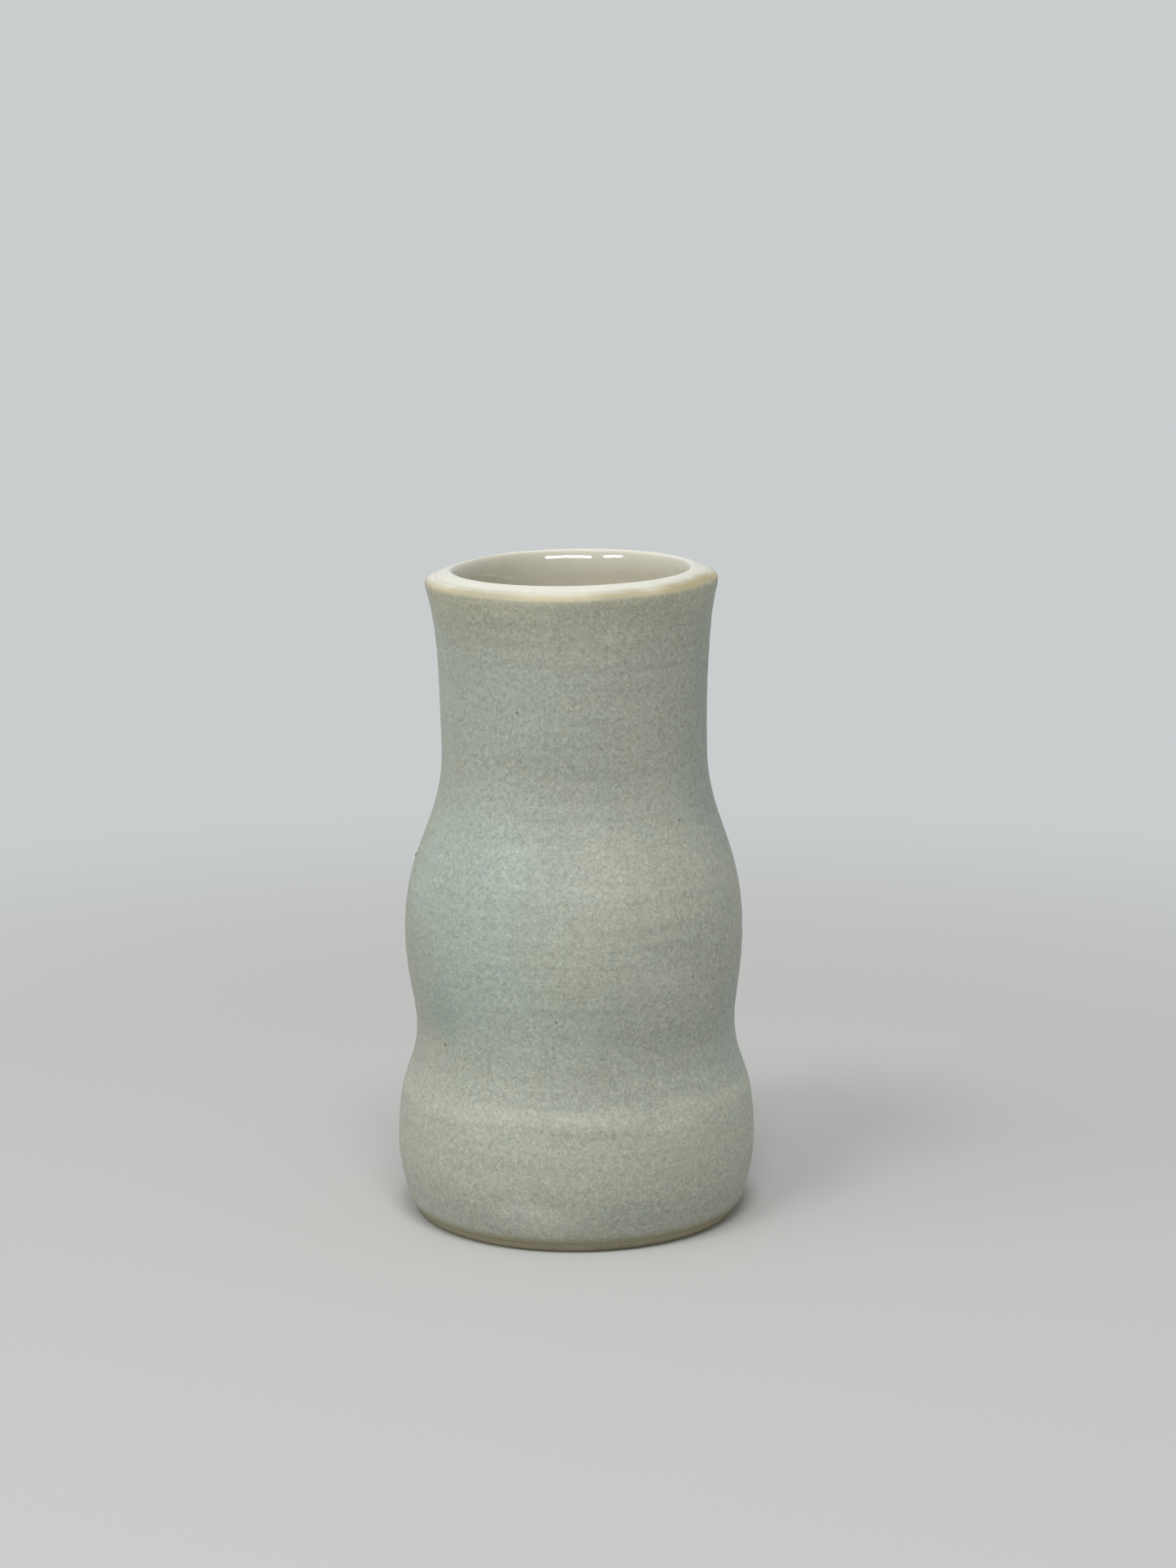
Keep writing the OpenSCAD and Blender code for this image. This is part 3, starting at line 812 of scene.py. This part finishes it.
def iron_grit():
    """Specks of iron that melted through the glaze: dull olive brown, with a rusty edge here and there."""
    material, tree = blank_material("iron grit under glaze")
    place = add(tree, "ShaderNodeTexCoord").outputs["Object"]
    rust = add(tree, NOISE, {"Vector": place, "Scale": per_metre(0.6), "Detail": 2.0})
    olive = srgb("#6E6C58")
    rusty = srgb("#8C8469")
    colour = add(tree, MIX, {BY: rust, FROM: olive, TO: rusty}, data_type="RGBA").outputs[MIXED]
    rough = add(tree, SPREAD, [rust, *USUAL, 0.45, 0.7])
    shader = add(tree, "ShaderNodeBsdfPrincipled", {"Base Color": colour, "Roughness": rough})
    add(tree, "ShaderNodeOutputMaterial", {"Surface": shader})
    return material


# Pieces
WHEEL = wheel()
MATTE = matte_glaze()
# Edges of the glazes that wander: height, and the distance to which they take the surface with them
FOOT_LINE = (BARE_BAND, 2.5)
RIM_LINE = (MEET_Z, 0.8)
outer_coat = thrown("outer_coat", outer_section(), True, [FOOT_LINE, RIM_LINE], {
    "Ring Height": 0.02 * MM, "Ring Spacing": 3.4 * MM, "Swell Height": 0.06 * MM, "Swell Size": 17 * MM,
    "Line Wander": 0.12 * MM, "Wander Size": 9 * MM, "Material": MATTE})
liner_coat = thrown("liner_coat", liner_section(), False, [RIM_LINE], {
    "Ring Height": 0.02 * MM, "Ring Spacing": 5 * MM, "Swell Height": 0.06 * MM, "Swell Size": 14 * MM,
    "Line Wander": 0.12 * MM, "Wander Size": 9 * MM, "Material": gloss_liner()})
vase_body = thrown("vase_body", body_section(), False, [], {
    "Ring Height": 0.06 * MM, "Ring Spacing": 2.2 * MM, "Swell Height": 0.03 * MM, "Swell Size": 9 * MM,
    "Line Wander": 0.0, "Wander Size": 9 * MM, "Material": bare_stoneware()})

# Specks that show from the front and the side: angle, height and width
SPECKS = [
    (46.5, 67, 0.5),
    (-53, 31, 0.55),
    (-24, 85, 0.5),
    (43.5, 43, 0.45),
    (-6, 37.5, 0.4),
    (-90, 58.4, 0.7),
]
# Others scattered round the back: how many, and the spans of their angles, heights and widths
SPECKS_BEHIND = 9
SPANS_BEHIND = ((100, 260), (16, 96), (0.3, 0.6))
scatter = random.Random(SEED)
for _ in range(SPECKS_BEHIND):
    SPECKS.append([scatter.uniform(*span) for span in SPANS_BEHIND])
spots = [on_vase(angle, height) for angle, height, _ in SPECKS]
iron_specks = made_of_points("iron_specks", [place for place, _ in spots], {
    "facing": [normal for _, normal in spots], "width": [width * MM for _, _, width in SPECKS]},
    grit(), {"Flatness": 0.35, "Material": iron_grit()})

# Each piece with the node that it stands for and the slot of its finish
PIECES = [
    (outer_coat, "outer_glaze", "matte_glaze"),
    (liner_coat, "liner_glaze", "gloss_liner"),
    (vase_body, "clay_body", "bare_clay"),
    (iron_specks, None, "matte_glaze"),
]
for piece, node, slot in PIECES:
    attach(piece, "root")
    if node:
        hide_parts(node)

# Camera: a phone's tele lens, fitted to a frame of 1445 x 1927 pixels. Its angles are in radians.
IMAGE_H = 1927
FOCAL_PX = 4286
SENSOR = 36.0
CAMERA_AT = (2.3 * MM, -549.4 * MM, 178.2 * MM)
CAMERA_PITCH = 0.1947
CAMERA_ROLL = -0.0066
eye = bpy.data.cameras.new("photo_camera")
eye.sensor_width = SENSOR
eye.lens = FOCAL_PX * SENSOR / IMAGE_H
camera = bpy.data.objects.new("photo_camera", eye)
aim = Matrix.Rotation(math.pi / 2 - CAMERA_PITCH, 4, "X") @ Matrix.Rotation(CAMERA_ROLL, 4, "Z")
camera.matrix_world = Matrix.Translation(CAMERA_AT) @ aim
bpy.context.scene.collection.objects.link(camera)
bpy.context.scene.camera = camera

# Stage: a pale floor that fades into a pale backdrop. The distances at which the fade starts and ends and the
# floor's radius are in metres. Then come its sides, and how many millimetres it reaches under the foot.
BACKDROP = srgb("#CACDCE")
FLOOR_FADE = (0.12, 0.34)
FLOOR_R = 2.5
FLOOR_SIDES = 96
UNDER_FOOT = 0.1


def pale_floor():
    """Dull pale stone near the vase. It fades into the backdrop, and can be seen through from below."""
    material, tree = blank_material("pale floor")
    place = add(tree, "ShaderNodeTexCoord").outputs["Object"]
    far = add(tree, VECTOR, [place], operation="LENGTH").outputs["Value"]
    fade = add(tree, SPREAD, [far, *FLOOR_FADE], interpolation_type="SMOOTHSTEP")
    near = add(tree, "ShaderNodeBsdfPrincipled", {"Base Color": srgb("#BDBEBC"), "Roughness": 0.6,
                                                  "Specular IOR Level": 0.0})
    glow = add(tree, "ShaderNodeEmission", {"Color": BACKDROP})
    shown = add(tree, "ShaderNodeMixShader", [fade, near, glow])
    below = add(tree, "ShaderNodeNewGeometry").outputs["Backfacing"]
    both = add(tree, "ShaderNodeMixShader", [below, shown, add(tree, "ShaderNodeBsdfTransparent")])
    add(tree, "ShaderNodeOutputMaterial", {"Surface": both})
    return material


# The floor is open where the foot hides it, so that light reaches the underside
turns = [k * math.tau / FLOOR_SIDES for k in range(FLOOR_SIDES)]
radii = ((FOOT_R - UNDER_FOOT) * MM, FLOOR_R)
edges = [(r * math.cos(turn), r * math.sin(turn), 0) for r in radii for turn in turns]
corners = [(k, (k + 1) % FLOOR_SIDES) for k in range(FLOOR_SIDES)]
sheet = bpy.data.meshes.new("floor")
sheet.from_pydata(edges, [], [(a, a + FLOOR_SIDES, b + FLOOR_SIDES, b) for a, b in corners])
sheet.materials.append(pale_floor())
floor = bpy.data.objects.new("floor", sheet)
bpy.context.scene.collection.objects.link(floor)


def softbox(name, place, size, power):
    """A soft rectangular light, in metres and watts, aimed at the middle of the vase."""
    lamp = bpy.data.lights.new(name, "AREA")
    lamp.shape = "RECTANGLE"
    lamp.size, lamp.size_y = size
    lamp.energy = power
    box = bpy.data.objects.new(name, lamp)
    box.location = place
    way = Vector((0, 0, HEIGHT / 2 * MM)) - Vector(place)
    box.rotation_euler = way.to_track_quat("-Z", "Y").to_euler()
    bpy.context.scene.collection.objects.link(box)
    return box


# Two soft boxes overhead and a weak one at the left light the vase, and give no gleam
softbox("key_light", (0.04, -0.5, 1.2), (0.38, 0.36), 6.55).visible_glossy = False
softbox("left_light", (-0.42, -0.5, 1.1), (0.28, 0.3), 3.65).visible_glossy = False
softbox("fill_light", (-0.85, -0.35, 0.5), (0.6, 0.6), 1.7).visible_glossy = False
# Two panes as of a window, in front at 27 degrees up, give the gleam alone
softbox("wide_pane", (0.056, -1.068, 0.605), (0.92, 0.11), 10.5).visible_diffuse = False
softbox("narrow_pane", (-0.757, -0.757, 0.605), (0.4, 0.11), 4.6).visible_diffuse = False

# The world shows the backdrop to the camera and in gloss, and gives a plain even light otherwise
EVEN_LIGHT = 0.49
world = bpy.data.worlds.new("studio")
world.use_nodes = True
sky = world.node_tree
sky.nodes.clear()
rays = add(sky, "ShaderNodeLightPath").outputs
seen = add(sky, MATH, [rays["Is Camera Ray"], rays["Is Glossy Ray"]], operation="MAXIMUM")
seen = add(sky, MATH, [seen, rays["Is Transmission Ray"]], operation="MAXIMUM")
even = add(sky, "ShaderNodeBackground", {"Color": srgb("#FFFFFF"), "Strength": EVEN_LIGHT})
shown = add(sky, "ShaderNodeBackground", {"Color": BACKDROP, "Strength": 1.0})
add(sky, "ShaderNodeOutputWorld", {"Surface": add(sky, "ShaderNodeMixShader", [seen, even, shown])})
bpy.context.scene.world = world
bpy.context.scene.view_settings.view_transform = "Standard"
